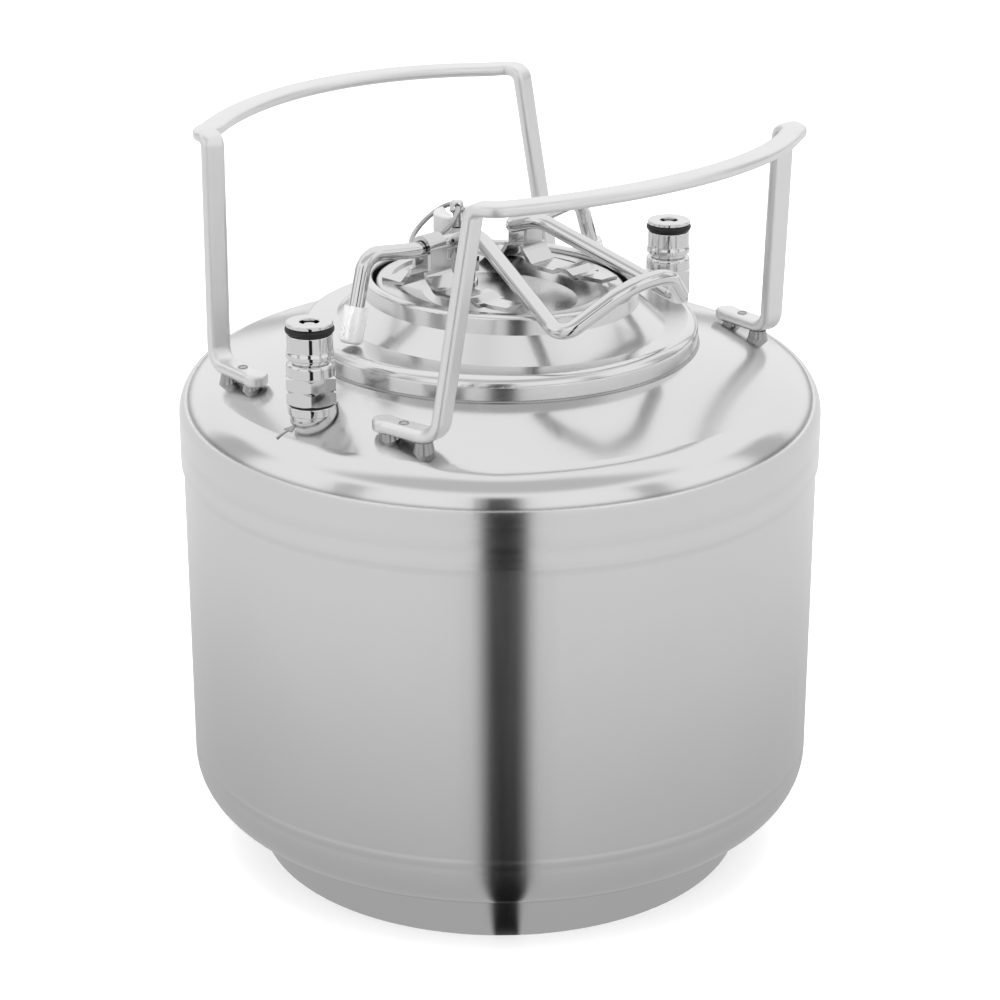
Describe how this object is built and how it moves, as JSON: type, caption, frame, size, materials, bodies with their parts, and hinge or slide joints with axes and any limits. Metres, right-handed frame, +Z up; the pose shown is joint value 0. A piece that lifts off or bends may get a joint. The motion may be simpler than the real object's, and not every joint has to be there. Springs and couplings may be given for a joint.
{
  "type": "beer keg",
  "caption": "Small stainless beer keg with an oval clamped lid and relief valve, gas and liquid ball-lock posts with spring poppets, two carrying handles and a rolled foot ring",
  "frame": {"origin": "centre of the lower face of the foot ring, on the keg's axis, where the keg stands", "axes": "+Z up along the keg's axis, +X from the gas post to the liquid post, bail handle toward -Y, carrying handles on the -Y and +Y sides"},
  "size_m": [0.2318, 0.2318, 0.2732],
  "materials": {
    "body_steel": "satin-bright stainless steel with a fine drawn grain",
    "polished_steel": "mirror-polished stainless steel",
    "satin_steel": "bead-blasted satin stainless steel",
    "bright_fittings": "bright machined and bent stainless steel",
    "spring_steel": "drawn spring wire",
    "black_rubber": "smooth black sealing rubber",
    "clear_vinyl": "translucent clear vinyl sleeve",
    "pale_plastic": "pale grey moulded plastic"
  },
  "bodies": {
    "keg": {"top_dome": "polished_steel", "body_shell": "body_steel", "bottom_dome": "body_steel", "foot_ring": "body_steel", "neck_ring": "polished_steel", "handle_front": "satin_steel", "handle_rear": "satin_steel", "handle_pads": "satin_steel", "gas_post_body": "bright_fittings", "gas_post_oring": "black_rubber", "gas_post_seal": "black_rubber", "gas_boss": "bright_fittings", "gas_dip_tube": "bright_fittings", "gas_tube_oring": "black_rubber", "gas_poppet_spring": "spring_steel", "liquid_post_body": "bright_fittings", "liquid_post_oring": "black_rubber", "liquid_post_seal": "black_rubber", "liquid_boss": "bright_fittings", "liquid_dip_tube": "bright_fittings", "liquid_tube_oring": "black_rubber", "liquid_poppet_spring": "spring_steel"},
    "gas_valve": {"gas_poppet": "bright_fittings", "gas_poppet_seal": "black_rubber"},
    "liquid_valve": {"liquid_poppet": "bright_fittings", "liquid_poppet_seal": "black_rubber"},
    "lid": {"lid_plate": "polished_steel", "lid_seal": "black_rubber", "lid_strap_left": "bright_fittings", "lid_strap_right": "bright_fittings", "relief_body": "bright_fittings", "relief_cap": "pale_plastic", "relief_spring": "spring_steel"},
    "bail": {"bail": "bright_fittings", "foot_cap_left": "clear_vinyl", "foot_cap_right": "clear_vinyl"},
    "relief_stem": {"relief_stem": "bright_fittings", "relief_seal": "black_rubber"},
    "relief_ring": {"relief_ring": "bright_fittings"}
  },
  "joints": [
    {"name": "lid_drop", "type": "slide", "parent": "keg", "child": "lid", "axis": [0, 0, -1], "range_m": [0, 0.0025]},
    {"name": "bail_swing", "type": "hinge", "parent": "lid", "child": "bail", "pos_m": [0, 0.011, 0.2305], "axis": [-1, 0, 0], "range_deg": [0, 95]},
    {"name": "gas_poppet_slide", "type": "slide", "parent": "keg", "child": "gas_valve", "axis": [0, 0, -1], "range_m": [0, 0.003], "stiffness_N_per_m": 900, "springref_m": -0.004, "deforming": ["gas_poppet_spring"]},
    {"name": "liquid_poppet_slide", "type": "slide", "parent": "keg", "child": "liquid_valve", "axis": [0, 0, -1], "range_m": [0, 0.003], "stiffness_N_per_m": 900, "springref_m": -0.004, "deforming": ["liquid_poppet_spring"]},
    {"name": "relief_pull", "type": "slide", "parent": "lid", "child": "relief_stem", "axis": [0, 0, 1], "range_m": [0, 0.003], "stiffness_N_per_m": 1200, "springref_m": -0.004, "deforming": ["relief_spring"]},
    {"name": "relief_ring_swing", "type": "hinge", "parent": "relief_stem", "child": "relief_ring", "pos_m": [0, 0.022, 0.2389], "axis": [0.5, 0.866, 0], "range_deg": [0, 120]}
  ],
  "couplings": [
    {"joint": "lid_drop", "follows": "bail_swing", "m_per_rad": 0.0015}
  ]
}
